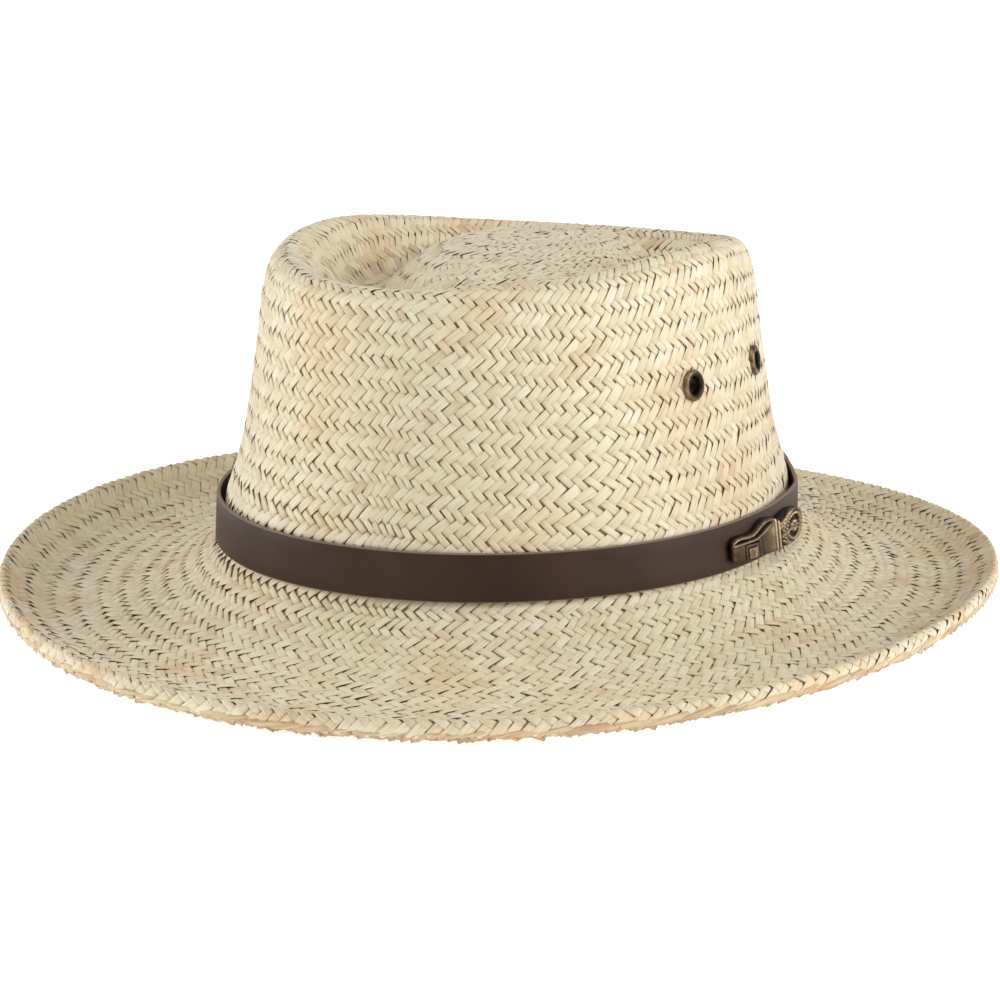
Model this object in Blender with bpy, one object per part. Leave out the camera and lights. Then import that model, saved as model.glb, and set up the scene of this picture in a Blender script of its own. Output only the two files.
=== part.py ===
"""A woven palm-straw gambler hat with an oval telescope crown and a pencil-curled brim.

The hat stands on its brim with its front toward -Y and the wearer's left toward +X.
Crown and brim are one woven sheet of even thickness, closed into one solid by the hem.
Angles run round the head from the front toward the wearer's left.
"""
import math
from collections import namedtuple

import bmesh
import bpy
from mathutils import Matrix, Vector

# Head oval and crown, measured on the outside of the straw
HEAD_LENGTH = 0.2038
HEAD_WIDTH = 0.1688
CREST_LENGTH = 0.1652
CREST_WIDTH = 0.1216
CROWN_HEIGHT = 0.0843
CREST_SIDE_RISE = 0.0038
CREST_FRONT_RISE = 0.0019
FOOT_END_RISE = 0.0011
HEAD_POWER = 2.0
SIDE_DENT_DEPTH = 0.0018
SIDE_DENT_ANGLE = 125
SIDE_DENT_SPREAD = 28

# Telescope top: a low dome inside a groove, with a raised crest all round
DOME_RISE = 0.0019
DOME_SETBACK = 0.0120
DOME_LEFT_SHIFT = 0.0060
GROOVE_DEPTH = 0.0170

# Brim, its curl and the folded hem
BRIM_LENGTH = 0.3108
BRIM_WIDTH = 0.2970
BRIM_POWER = 2.05
CROWN_SETBACK = 0.0073
BRIM_DROP = 0.0161
REST_DIP = 0.0006
CURL_RISE = 0.0074
CURL_END_DIP = 0.0027
CURL_LEFT_DIP = 0.0007
HEM_DEPTH = 0.0060

# Sheet thicknesses and clearances
STRAW_WALL = 0.0016
BAND_WALL = 0.0018
BAND_HEIGHT = 0.0134
BAND_STAND = 0.0024
CLEARANCE = 0.0003

# Vent eyelets
EYELET_BORE = 0.0025
EYELET_BARREL = 0.0035
EYELET_FLANGE = 0.0047
EYELET_LIP = 0.0007
EYELET_HEIGHT = 0.0517
EYELET_SLACK = 0.0002

# Cast ornament on the band
ORNAMENT_LENGTH = 0.0530
ORNAMENT_HEIGHT = 0.0106
ORNAMENT_WALL = 0.0014
ORNAMENT_RELIEF = 0.0010
ORNAMENT_FRONT_BASE = 0.0022
ORNAMENT_REAR_BASE = -0.0013
ORNAMENT_ANGLE = 88.1
COIL_RADIUS = 0.0044
COIL_ROPE = 0.0015

# Facet counts
AROUND = 60
TURNED = 16
ORNAMENT_COLUMNS = 26
ORNAMENT_ROWS = 9

# Top of the crown: share of the crest oval, share of crest height, share of groove depth
TopRow = namedtuple("TopRow", "reach rim groove")
TOP_ROWS = [
    TopRow(0.05, 0.00, 0.00),
    TopRow(0.18, 0.00, 0.01),
    TopRow(0.34, 0.02, 0.05),
    TopRow(0.48, 0.10, 0.24),
    TopRow(0.60, 0.28, 0.64),
    TopRow(0.70, 0.55, 0.98),
    TopRow(0.77, 0.75, 0.98),
    TopRow(0.84, 0.90, 0.70),
    TopRow(0.90, 0.97, 0.36),
    TopRow(0.955, 1.00, 0.09),
]

# Depth of the groove round the crown, as a share of its greatest depth
GrooveRow = namedtuple("GrooveRow", "angle depth")
GROOVE_ROWS = [
    GrooveRow(0, 0.45),
    GrooveRow(14, 0.20),
    GrooveRow(30, 0.09),
    GrooveRow(45, 0.14),
    GrooveRow(60, 0.32),
    GrooveRow(90, 0.70),
    GrooveRow(135, 0.84),
    GrooveRow(180, 0.84),
    GrooveRow(225, 0.88),
    GrooveRow(270, 1.00),
    GrooveRow(315, 1.00),
    GrooveRow(340, 0.80),
    GrooveRow(360, 0.45),
]

# Side of the crown, crest to foot: share of the way in to the crest oval, share of the
# crown's height, and shares of the crest's and the foot's rises
SideRow = namedtuple("SideRow", "inward up crest foot")
SIDE_ROWS = [
    SideRow(1.00, 1.000, 1.00, 0.0),
    SideRow(0.86, 0.989, 1.00, 0.0),
    SideRow(0.75, 0.961, 0.98, 0.0),
    SideRow(0.68, 0.913, 0.92, 0.0),
    SideRow(0.627, 0.854, 0.84, 0.0),
    SideRow(0.568, 0.735, 0.63, 0.0),
    SideRow(0.425, 0.498, 0.24, 0.2),
    SideRow(0.298, 0.332, 0.04, 0.55),
    SideRow(0.19, 0.237, 0.00, 0.8),
    SideRow(0.09, 0.159, 0.00, 1.0),
    SideRow(0.00, 0.000, 0.00, 1.0),
]

# Brim, foot to edge: share of the way out, share of the drop, share of the curl's rise
BrimRow = namedtuple("BrimRow", "out drop curl")
BRIM_ROWS = [
    BrimRow(0.03, 0.14, 0.00),
    BrimRow(0.08, 0.285, 0.00),
    BrimRow(0.16, 0.53, 0.00),
    BrimRow(0.26, 0.745, 0.00),
    BrimRow(0.38, 0.89, 0.00),
    BrimRow(0.52, 0.97, 0.00),
    BrimRow(0.66, 1.00, 0.00),
    BrimRow(0.76, 1.00, 0.06),
    BrimRow(0.85, 1.00, 0.31),
    BrimRow(0.92, 1.00, 0.63),
    BrimRow(0.965, 1.00, 0.89),
    BrimRow(0.985, 1.00, 1.00),
]
FIRST_ROW_UNDER_HEM = 10

# Hem folded over the curl: share of the way out, share of its depth below the curl's crest
HemRow = namedtuple("HemRow", "out down")
HEM_ROWS = [
    HemRow(1.00, 0.25),
    HemRow(1.00, 0.65),
    HemRow(0.985, 1.00),
    HemRow(0.945, 1.05),
]

# Outline of the cast ornament: share of its length, shares of its height
OutlineRow = namedtuple("OutlineRow", "along low high")
ORNAMENT_OUTLINE = [
    OutlineRow(0.00, 0.15, 0.50),
    OutlineRow(0.014, 0.07, 0.60),
    OutlineRow(0.045, 0.03, 0.68),
    OutlineRow(0.09, 0.03, 0.71),
    OutlineRow(0.155, 0.03, 0.70),
    OutlineRow(0.21, 0.02, 0.72),
    OutlineRow(0.255, 0.02, 0.79),
    OutlineRow(0.30, 0.02, 0.90),
    OutlineRow(0.35, 0.01, 0.98),
    OutlineRow(0.41, 0.00, 1.00),
    OutlineRow(0.47, 0.00, 0.97),
    OutlineRow(0.515, 0.00, 0.86),
    OutlineRow(0.56, 0.00, 0.90),
    OutlineRow(0.64, 0.00, 0.97),
    OutlineRow(0.76, 0.00, 1.00),
    OutlineRow(0.88, 0.02, 0.92),
    OutlineRow(0.95, 0.12, 0.80),
    OutlineRow(1.00, 0.32, 0.60),
]

# How far the band stands off the crown round the head, as shares of its greatest stand
StandRow = namedtuple("StandRow", "angle foot top")
STAND_ROWS = [
    StandRow(-180, 0.00, 0.00),
    StandRow(-140, 0.00, 0.08),
    StandRow(-100, 0.12, 0.50),
    StandRow(-68, 0.16, 1.00),
    StandRow(-38, 0.00, 0.33),
    StandRow(0, 0.00, 0.00),
    StandRow(80, 0.00, 0.00),
    StandRow(100, 0.00, 0.33),
    StandRow(118, 0.08, 1.00),
    StandRow(150, 0.00, 0.25),
    StandRow(180, 0.00, 0.00),
]

# Where the eyelets stand round the crown
EyeletRow = namedtuple("EyeletRow", "name angle")
EYELET_ROWS = [
    EyeletRow("eyelet_left_front", 68.3),
    EyeletRow("eyelet_left_rear", 101.6),
    EyeletRow("eyelet_right_front", -68.3),
    EyeletRow("eyelet_right_rear", -101.6),
]

# Height of the crown's foot over the surface that the brim's lowest ring rests on
FOOT_HEIGHT = BRIM_DROP + REST_DIP + STRAW_WALL


def mix(start, end, share):
    """Value that lies a share of the way from start to end."""
    return start + (end - start) * share


def oval_radius(length, width, angle, power=HEAD_POWER):
    """Radius of an oval at an angle from the front, squarer with a higher power."""
    along = abs(math.cos(angle) * 2 / length) ** power
    across = abs(math.sin(angle) * 2 / width) ** power
    return (along + across) ** (-1 / power)


def place(radius, angle, setback, height, leftward=0.0):
    """Point at an angle round a ring, with the front toward -Y and the left toward +X."""
    left = radius * math.sin(angle) + leftward
    front = radius * math.cos(angle) - setback
    return Vector((left, -front, FOOT_HEIGHT + height))


def side_dent(angle):
    """Flat spot low on the crown, behind the wearer's left ear."""
    turn = (math.degrees(angle) - SIDE_DENT_ANGLE + 180) % 360 - 180
    return SIDE_DENT_DEPTH * math.exp(-(turn / SIDE_DENT_SPREAD) ** 2)


def crest_rise(angle):
    """Lift of the crest: higher at the sides, and a little at the front."""
    return CREST_FRONT_RISE * math.cos(angle) - CREST_SIDE_RISE * math.cos(2 * angle)


def foot_rise(angle):
    """Lift of the crown's foot, a little higher at front and back."""
    return FOOT_END_RISE * math.cos(2 * angle)


def groove_share(angle):
    """Depth of the groove at an angle, eased between the rows of its table."""
    degrees = math.degrees(angle) % 360
    for first, second in zip(GROOVE_ROWS, GROOVE_ROWS[1:]):
        if degrees <= second.angle:
            share = (degrees - first.angle) / (second.angle - first.angle)
            eased = (1 - math.cos(math.pi * share)) / 2
            return mix(first.depth, second.depth, eased)
    return GROOVE_ROWS[0].depth


def top_point(row, angle):
    """Point on the telescope top of the crown."""
    crest = CROWN_HEIGHT + crest_rise(angle)
    height = mix(CROWN_HEIGHT + DOME_RISE, crest, row.rim)
    height -= GROOVE_DEPTH * groove_share(angle) * row.groove
    radius = oval_radius(CREST_LENGTH, CREST_WIDTH, angle) * row.reach
    setback = CROWN_SETBACK + DOME_SETBACK * (1 - row.reach)
    return place(radius, angle, setback, height, DOME_LEFT_SHIFT * (1 - row.reach))


def side_point(row, angle, outward=0.0):
    """Point on the side of the crown, or off it by an outward distance."""
    length = mix(HEAD_LENGTH, CREST_LENGTH, row.inward)
    width = mix(HEAD_WIDTH, CREST_WIDTH, row.inward)
    height = CROWN_HEIGHT * row.up + crest_rise(angle) * row.crest + foot_rise(angle) * row.foot
    radius = oval_radius(length, width, angle) - side_dent(angle) * row.foot + outward
    return place(radius, angle, CROWN_SETBACK, height)


def brim_radius(out, angle):
    """Radius of the brim at a share of the way out from the head oval to its edge."""
    length = mix(HEAD_LENGTH, BRIM_LENGTH, out)
    width = mix(HEAD_WIDTH, BRIM_WIDTH, out)
    radius = oval_radius(length, width, angle, mix(HEAD_POWER, BRIM_POWER, out))
    return radius - side_dent(angle) * (1 - out) ** 8


def brim_rise(angle):
    """Height that the curl gains above the brim's lowest ring."""
    return CURL_RISE - CURL_END_DIP * math.cos(2 * angle) - CURL_LEFT_DIP * math.sin(angle)


def brim_point(row, angle):
    """Point on the upper face of the brim."""
    height = foot_rise(angle) * (1 - row.drop) - BRIM_DROP * row.drop
    height += brim_rise(angle) * row.curl - REST_DIP * math.cos(2 * angle) * row.drop
    return place(brim_radius(row.out, angle), angle, CROWN_SETBACK * (1 - row.out), height)


def hem_point(row, angle):
    """Point on the hem that hangs outside the curl."""
    crest = brim_rise(angle) - BRIM_DROP - REST_DIP * math.cos(2 * angle)
    height = crest - HEM_DEPTH * row.down
    return place(brim_radius(row.out, angle), angle, CROWN_SETBACK * (1 - row.out), height)


def angles():
    """Even angles round the head."""
    return [2 * math.pi * step / AROUND for step in range(AROUND)]


def upper_rings():
    """Rings of the sheet's upper face, from the middle of the top to the curl's crest."""
    rings = [[top_point(row, angle) for angle in angles()] for row in TOP_ROWS]
    rings += [[side_point(row, angle) for angle in angles()] for row in SIDE_ROWS]
    rings += [[brim_point(row, angle) for angle in angles()] for row in BRIM_ROWS]
    return rings


def under_ring(rings, index):
    """Ring one wall under the sheet's upper face, square to it."""
    before = rings[max(index - 1, 0)]
    after = rings[min(index + 1, len(rings) - 1)]
    ring = []
    for step, point in enumerate(rings[index]):
        down_sheet = after[step] - before[step]
        round_head = rings[index][(step + 1) % AROUND] - rings[index][step - 1]
        normal = down_sheet.cross(round_head).normalized()
        ring.append(point - normal * STRAW_WALL)
    return ring


def colour_of(name, colour, roughness, metallic):
    """Plain Principled material."""
    material = bpy.data.materials.new(name)
    material.use_nodes = True
    shader = material.node_tree.nodes["Principled BSDF"]
    shader.inputs["Base Color"].default_value = (*colour, 1.0)
    shader.inputs["Roughness"].default_value = roughness
    shader.inputs["Metallic"].default_value = metallic
    return material


def finish(bm, name, material, sharp=40):
    """Close the shape into an object, faces outward, round faces smooth."""
    bmesh.ops.recalc_face_normals(bm, faces=bm.faces)
    mesh = bpy.data.meshes.new(name)
    bm.to_mesh(mesh)
    bm.free()
    mesh.materials.append(material)
    mesh.shade_smooth()
    mesh.set_sharp_from_angle(angle=math.radians(sharp))
    piece = bpy.data.objects.new(name, mesh)
    bpy.context.scene.collection.objects.link(piece)
    return piece


def add_ring(bm, points):
    """Vertices along one ring."""
    return [bm.verts.new(point) for point in points]


def bridge(bm, first, second):
    """Strip of faces between two rings with the same number of points."""
    count = len(first)
    for step in range(count):
        after = (step + 1) % count
        bm.faces.new((first[step], first[after], second[after], second[step]))


def cap(bm, ring):
    """Low fan of faces over a ring."""
    face = bm.faces.new(ring)
    bmesh.ops.poke(bm, faces=[face])


def build_straw():
    """Crown and brim: upper face, hem and under face, closed into one body."""
    upper = upper_rings()
    hem = [[hem_point(row, angle) for angle in angles()] for row in HEM_ROWS]
    last_under = len(TOP_ROWS) + len(SIDE_ROWS) + FIRST_ROW_UNDER_HEM
    under = [under_ring(upper, index) for index in range(last_under)]
    bm = bmesh.new()
    rings = [add_ring(bm, ring) for ring in upper + hem + under[::-1]]
    for first, second in zip(rings, rings[1:]):
        bridge(bm, first, second)
    cap(bm, rings[0])
    cap(bm, rings[-1])
    straw = colour_of("palm_straw", (0.72, 0.62, 0.44), 0.7, 0.0)
    return finish(bm, "straw_body", straw)


def band_side(share):
    """Row of the crown's side at a share of the band's height."""
    return SideRow(mix(0.0, 0.09, share), BAND_HEIGHT * share / CROWN_HEIGHT, 0.0, 1.0)


def band_stand(angle, share):
    """Gap that the band leaves to the crown at an angle and a share of its height."""
    degrees = (math.degrees(angle) + 180) % 360 - 180
    for first, second in zip(STAND_ROWS, STAND_ROWS[1:]):
        if degrees <= second.angle:
            part = (degrees - first.angle) / (second.angle - first.angle)
            foot = mix(first.foot, second.foot, part)
            return BAND_STAND * mix(foot, mix(first.top, second.top, part), share)
    return 0.0


def build_band():
    """Closed leather loop that lies on the foot of the crown."""
    inner = CLEARANCE
    outer = CLEARANCE + BAND_WALL
    corner = BAND_WALL / 4
    profile = [(0.0, inner), (1.0, inner), (1.0, outer - corner), (0.94, outer)]
    profile += [(0.06, outer), (0.0, outer - corner)]
    bm = bmesh.new()
    rings = []
    for share, off in profile:
        ring = [side_point(band_side(share), angle, off + band_stand(angle, share))
                for angle in angles()]
        rings.append(add_ring(bm, ring))
    for first, second in zip(rings, rings[1:] + rings[:1]):
        bridge(bm, first, second)
    leather = colour_of("band_leather", (0.055, 0.038, 0.028), 0.45, 0.0)
    return finish(bm, "hat_band", leather)


def outline_at(share):
    """Lower and upper edge of the ornament at a share of its length."""
    for first, second in zip(ORNAMENT_OUTLINE, ORNAMENT_OUTLINE[1:]):
        if share <= second.along:
            part = (share - first.along) / (second.along - first.along)
            return mix(first.low, second.low, part), mix(first.high, second.high, part)
    return ORNAMENT_OUTLINE[-1].low, ORNAMENT_OUTLINE[-1].high


def bump(distance, half_width):
    """Rounded ridge of height 1 over a half width, 0 beyond it."""
    return math.sqrt(max(0.0, 1 - (distance / half_width) ** 2))


def relief(share, height_share):
    """Raised height of the cast relief: rim, nested square, two ribs and a coil of rope."""
    along = share * ORNAMENT_LENGTH
    up = height_share * ORNAMENT_HEIGHT
    low, high = outline_at(share)
    rib = ORNAMENT_HEIGHT * 0.09
    raised = 0.0
    coil_along = ORNAMENT_LENGTH * 0.775
    coil_up = ORNAMENT_HEIGHT * 0.47
    if share < 0.545:
        raised = 0.7 * bump(min(high * ORNAMENT_HEIGHT - up, rib), rib)
        square_along = abs(along - ORNAMENT_LENGTH * 0.20) / (ORNAMENT_LENGTH * 0.08)
        square_up = abs(up - ORNAMENT_HEIGHT * 0.20) / (ORNAMENT_HEIGHT * 0.26)
        edge = max(square_along, square_up)
        raised = max(raised, 0.6 * bump(edge - 0.85, 0.22), 0.5 * bump(edge, 0.45))
        for place_share in (0.476, 0.521):
            distance = abs(along - ORNAMENT_LENGTH * place_share)
            raised = max(raised, 0.8 * bump(distance, rib))
    else:
        from_middle = math.hypot((along - coil_along) * 0.5, up - coil_up)
        raised = bump(from_middle - (COIL_RADIUS - COIL_ROPE), COIL_ROPE)
    return ORNAMENT_RELIEF * raised


def build_ornament():
    """Cast relief plate, bent to the band, with its outline from the table."""
    middle = math.radians(ORNAMENT_ANGLE)
    bend = oval_radius(HEAD_LENGTH, HEAD_WIDTH, middle) + BAND_WALL
    back = CLEARANCE + BAND_WALL + CLEARANCE
    bm = bmesh.new()
    fronts = []
    backs = []
    for column in range(ORNAMENT_COLUMNS + 1):
        share = column / ORNAMENT_COLUMNS
        low, high = outline_at(share)
        angle = middle + (share - 0.5) * ORNAMENT_LENGTH / bend
        front = []
        rear = []
        for row in range(ORNAMENT_ROWS + 1):
            height_share = mix(low, high, row / ORNAMENT_ROWS)
            height = mix(ORNAMENT_FRONT_BASE, ORNAMENT_REAR_BASE, share)
            height += height_share * ORNAMENT_HEIGHT
            side = band_side(height / BAND_HEIGHT)
            stand = back + band_stand(angle, height / BAND_HEIGHT)
            edge = row in (0, ORNAMENT_ROWS) or column in (0, ORNAMENT_COLUMNS)
            rise = ORNAMENT_WALL * 0.7 if edge else ORNAMENT_WALL + relief(share, height_share)
            front.append(bm.verts.new(side_point(side, angle, stand + rise)))
            rear.append(bm.verts.new(side_point(side, angle, stand)))
        fronts.append(front)
        backs.append(rear)
    for grid in (fronts, backs):
        for first, second in zip(grid, grid[1:]):
            for row in range(ORNAMENT_ROWS):
                bm.faces.new((first[row], first[row + 1], second[row + 1], second[row]))
    front_edge = [column[0] for column in fronts] + fronts[-1][1:]
    front_edge += [column[-1] for column in fronts[-2::-1]] + fronts[0][-2:0:-1]
    back_edge = [column[0] for column in backs] + backs[-1][1:]
    back_edge += [column[-1] for column in backs[-2::-1]] + backs[0][-2:0:-1]
    bridge(bm, front_edge, back_edge)
    bronze = colour_of("antique_bronze", (0.16, 0.11, 0.07), 0.4, 0.9)
    return finish(bm, "band_ornament", bronze)


def crown_frame(angle, height):
    """Point on the crown's side and the outward direction there, as a placing matrix."""
    share = height / CROWN_HEIGHT
    for above, below in zip(SIDE_ROWS, SIDE_ROWS[1:]):
        if below.up <= share <= above.up:
            part = (share - below.up) / (above.up - below.up)
            row = SideRow(*(mix(low, high, part) for low, high in zip(below, above)))
            top, bottom = above, below
    point = side_point(row, angle)
    turn = math.pi / AROUND
    round_head = side_point(row, angle + turn) - side_point(row, angle - turn)
    up_side = side_point(top, angle) - side_point(bottom, angle)
    normal = round_head.cross(up_side).normalized()
    across = round_head.normalized()
    upward = normal.cross(across)
    matrix = Matrix((across, upward, normal)).transposed().to_4x4()
    matrix.translation = point
    return matrix


def eyelet_profile():
    """Closed section of a clenched eyelet: radius from its axis, height off the straw."""
    seat = CLEARANCE + EYELET_SLACK
    under = -STRAW_WALL - seat
    return [
        (EYELET_BORE, under - EYELET_LIP),
        (EYELET_BORE, seat + EYELET_LIP / 2),
        (mix(EYELET_BORE, EYELET_FLANGE, 0.3), seat + EYELET_LIP),
        (mix(EYELET_BORE, EYELET_FLANGE, 0.7), seat + EYELET_LIP),
        (EYELET_FLANGE, seat),
        (EYELET_BARREL, seat),
        (EYELET_BARREL, under),
        (EYELET_FLANGE, under),
        (EYELET_FLANGE, under - EYELET_LIP),
    ]


def build_eyelet(row, brass):
    """Turned eyelet through the crown's side."""
    bm = bmesh.new()
    points = [bm.verts.new((radius, 0.0, height)) for radius, height in eyelet_profile()]
    edges = [bm.edges.new(pair) for pair in zip(points, points[1:] + points[:1])]
    bmesh.ops.spin(bm, geom=points + edges, cent=(0, 0, 0), axis=(0, 0, 1),
                   angle=2 * math.pi, steps=TURNED, use_merge=True, use_duplicate=False)
    bmesh.ops.remove_doubles(bm, verts=bm.verts, dist=CLEARANCE / 10)
    piece = finish(bm, row.name, brass)
    piece.matrix_world = crown_frame(math.radians(row.angle), EYELET_HEIGHT)
    return piece


def cut_hole(body, row):
    """Hole in the straw that clears an eyelet's barrel."""
    bm = bmesh.new()
    radius = EYELET_BARREL + CLEARANCE
    bmesh.ops.create_cone(bm, cap_ends=True, segments=TURNED, radius1=radius,
                          radius2=radius, depth=EYELET_FLANGE * 3)
    mesh = bpy.data.meshes.new("hole_" + row.name)
    bm.to_mesh(mesh)
    bm.free()
    cutter = bpy.data.objects.new("hole_" + row.name, mesh)
    bpy.context.scene.collection.objects.link(cutter)
    cutter.matrix_world = crown_frame(math.radians(row.angle), EYELET_HEIGHT)
    cutter.hide_render = True
    cutter.display_type = "WIRE"
    hole = body.modifiers.new("hole_" + row.name, "BOOLEAN")
    hole.operation = "DIFFERENCE"
    hole.solver = "EXACT"
    hole.object = cutter


for leftover in list(bpy.data.objects):
    bpy.data.objects.remove(leftover, do_unlink=True)

straw_body = build_straw()
build_band()
build_ornament()
eyelet_brass = colour_of("antique_brass", (0.20, 0.13, 0.07), 0.35, 0.9)
for eyelet_row in EYELET_ROWS:
    build_eyelet(eyelet_row, eyelet_brass)
    cut_hole(straw_body, eyelet_row)
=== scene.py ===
"""A woven palm-straw gambler hat with a leather band, a cast ornament and vent eyelets.

The hat stands on its brim with its front toward -Y and the wearer's left toward +X.
Angles run round the head from the front toward the wearer's left; lengths are in metres.
"""
import math
from collections import namedtuple

import bmesh
import bpy
import numpy as np
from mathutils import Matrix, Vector


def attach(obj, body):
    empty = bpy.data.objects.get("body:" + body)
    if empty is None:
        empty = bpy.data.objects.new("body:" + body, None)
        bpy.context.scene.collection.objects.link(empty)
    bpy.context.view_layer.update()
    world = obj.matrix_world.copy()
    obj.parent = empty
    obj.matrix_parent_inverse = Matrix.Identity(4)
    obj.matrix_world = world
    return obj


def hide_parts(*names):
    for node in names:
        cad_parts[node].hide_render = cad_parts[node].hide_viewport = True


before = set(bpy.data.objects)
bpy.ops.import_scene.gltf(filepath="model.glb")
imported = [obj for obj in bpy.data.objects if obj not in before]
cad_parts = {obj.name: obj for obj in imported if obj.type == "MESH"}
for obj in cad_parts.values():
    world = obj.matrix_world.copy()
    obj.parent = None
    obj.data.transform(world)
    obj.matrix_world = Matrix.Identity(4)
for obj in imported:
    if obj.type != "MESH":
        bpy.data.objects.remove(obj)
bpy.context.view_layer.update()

# ---------------------------------------------------------------- camera, floor and light
# A studio view from the wearer's front left, slightly above the brim, on a pale floor.
CAMERA_TURN = 25.9
CAMERA_RISE = 14.5
CAMERA_DISTANCE = 0.776
CAMERA_TARGET = Vector((0.0, 0.0073, 0.0183))


def toward(turn, rise):
    """Direction from the hat to a viewer at a turn from the front and a rise, in degrees."""
    turn, rise = math.radians(turn), math.radians(rise)
    return Vector((math.sin(turn) * math.cos(rise), -math.cos(turn) * math.cos(rise),
                   math.sin(rise)))


camera_data = bpy.data.cameras.new("studio_camera")
camera_data.sensor_width = 36.0
camera_data.lens = 90.3
camera_data.shift_x = -0.0137
camera_data.shift_y = 0.0135
camera_data.clip_start = 0.01
camera = bpy.data.objects.new("studio_camera", camera_data)
bpy.context.scene.collection.objects.link(camera)
camera.location = CAMERA_TARGET + CAMERA_DISTANCE * toward(CAMERA_TURN, CAMERA_RISE)
camera.rotation_euler = (CAMERA_TARGET - camera.location).to_track_quat("-Z", "Y").to_euler()
bpy.context.scene.camera = camera
bpy.context.scene.view_settings.view_transform = "Standard"

LightRow = namedtuple("LightRow", "name turn rise distance size power")
LIGHT_ROWS = [
    LightRow("key_light", 20, 30, 1.5, 0.9, 0.2),
    LightRow("left_fill", -68, 20, 1.6, 1.0, 10.8),
    LightRow("right_fill", 104, 22, 1.6, 1.0, 12.2),
    LightRow("top_light", 30, 70, 1.6, 1.0, 5.2),
]
for row in LIGHT_ROWS:
    light_data = bpy.data.lights.new(row.name, "AREA")
    light_data.shape = "DISK"
    light_data.size = row.size
    light_data.energy = row.power
    light = bpy.data.objects.new(row.name, light_data)
    bpy.context.scene.collection.objects.link(light)
    light.location = CAMERA_TARGET + row.distance * toward(row.turn, row.rise)
    light.rotation_euler = (CAMERA_TARGET - light.location).to_track_quat("-Z", "Y").to_euler()

world = bpy.data.worlds.new("studio_air")
world.use_nodes = True
world.node_tree.nodes["Background"].inputs["Color"].default_value = (1.0, 1.0, 1.0, 1.0)
world.node_tree.nodes["Background"].inputs["Strength"].default_value = 0.40
bpy.context.scene.world = world

bm = bmesh.new()
bmesh.ops.create_grid(bm, x_segments=1, y_segments=1, size=12.0)
floor_mesh = bpy.data.meshes.new("studio_floor")
bm.to_mesh(floor_mesh)
bm.free()
floor = bpy.data.objects.new("studio_floor", floor_mesh)
bpy.context.scene.collection.objects.link(floor)
floor_material = bpy.data.materials.new("floor_paint")
floor_material.use_nodes = True
floor_shader = floor_material.node_tree.nodes["Principled BSDF"]
floor_shader.inputs["Base Color"].default_value = (0.66, 0.66, 0.66, 1.0)
floor_shader.inputs["Roughness"].default_value = 0.9
floor_shader.inputs["Emission Color"].default_value = (1.0, 1.0, 1.0, 1.0)
floor_shader.inputs["Emission Strength"].default_value = 0.74
floor_mesh.materials.append(floor_material)

# ---------------------------------------------------------------- tucked straw
# The hat is one sheet plaited over and under from flat palm strips, from a small start in
# the middle of the dome outward. The parts of the strips that lie under others are one thin
# closed sheet here, midway through the straw, dark brown as painted shade between the strips.
HEAD_LENGTH = 0.2038
HEAD_WIDTH = 0.1688
CREST_LENGTH = 0.1652
CREST_WIDTH = 0.1216
CROWN_HEIGHT = 0.0843
BRIM_LENGTH = 0.3108
BRIM_WIDTH = 0.2970
BRIM_DROP = 0.0161
REST_DIP = 0.0006
CROWN_SETBACK = 0.0073
STRAW_WALL = 0.0016
DOME_RISE = 0.0019
DOME_SETBACK = 0.0120
DOME_LEFT_SHIFT = 0.0060
GROOVE_DEPTH = 0.0170
HEM_DEPTH = 0.0060
CREST_FRONT_RISE = 0.0019
CREST_SIDE_RISE = 0.0038
FOOT_END_RISE = 0.0011
DENT_ANGLE = 125
DENT_SPREAD = 28
DENT_DEPTH = 0.0010
CURL_RISE = 0.0074
CURL_END_DIP = 0.0027
CURL_LEFT_DIP = 0.0007
TUCKED_DEPTH = 0.0006
TUCKED_WALL = 0.0004
TUCKED_START = 0.0015
TUCKED_STEP = 0.0022
TUCKED_ROUND = 180
FOOT_HEIGHT = BRIM_DROP + REST_DIP + STRAW_WALL
SHEET_STEP = 0.0005
AROUND_STEPS = 720

# Dome and groove: share of the crest oval, of the crest's height, of the groove's depth
TopRow = namedtuple("TopRow", "reach rim groove")
TOP_ROWS = [
    TopRow(0.00, 0.00, 0.00),
    TopRow(0.05, 0.00, 0.00),
    TopRow(0.18, 0.00, 0.01),
    TopRow(0.34, 0.02, 0.05),
    TopRow(0.48, 0.10, 0.24),
    TopRow(0.60, 0.28, 0.64),
    TopRow(0.70, 0.55, 0.98),
    TopRow(0.77, 0.75, 0.98),
    TopRow(0.84, 0.90, 0.70),
    TopRow(0.90, 0.97, 0.36),
    TopRow(0.955, 1.00, 0.09),
]
GrooveRow = namedtuple("GrooveRow", "angle depth")
GROOVE_ROWS = [
    GrooveRow(0, 0.45),
    GrooveRow(14, 0.20),
    GrooveRow(30, 0.09),
    GrooveRow(45, 0.14),
    GrooveRow(60, 0.32),
    GrooveRow(90, 0.70),
    GrooveRow(135, 0.84),
    GrooveRow(180, 0.84),
    GrooveRow(225, 0.88),
    GrooveRow(270, 1.00),
    GrooveRow(315, 1.00),
    GrooveRow(340, 0.80),
    GrooveRow(360, 0.45),
]
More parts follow.
